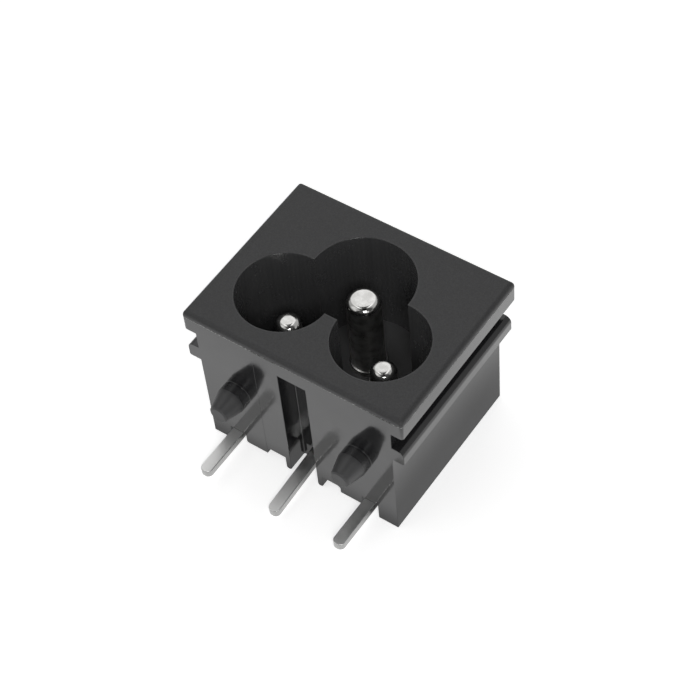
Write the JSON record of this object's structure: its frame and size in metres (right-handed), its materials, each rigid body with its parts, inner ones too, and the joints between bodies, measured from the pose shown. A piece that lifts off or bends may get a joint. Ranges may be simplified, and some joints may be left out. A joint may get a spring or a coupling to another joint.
{
  "type": "iec power connector",
  "caption": "Board-mounted appliance power inlet: a black block with a flange, a cloverleaf socket around bright contact pins, moulded board pegs and flat solder legs.",
  "frame": {"origin": "middle of the overall outline in X and Y, on the plane of the rear face", "axes": "+Z along the mating axis, out of the socket mouth; +X from the line pin to the neutral pin; the circuit board stands against the -Y side"},
  "size_m": [0.0226, 0.0228, 0.0165],
  "materials": {
    "housing": "black thermoplastic, polished walls and a finely textured mating face",
    "contact_pin": "nickel plated, bright",
    "terminal": "tin plated, bright rolled faces and satin sheared edges"
  },
  "bodies": {
    "root": {"housing": "housing", "line_pin": "contact_pin", "neutral_pin": "contact_pin", "earth_pin": "contact_pin", "line_terminal": "terminal", "neutral_terminal": "terminal", "earth_terminal": "terminal"}
  },
  "joints": []
}
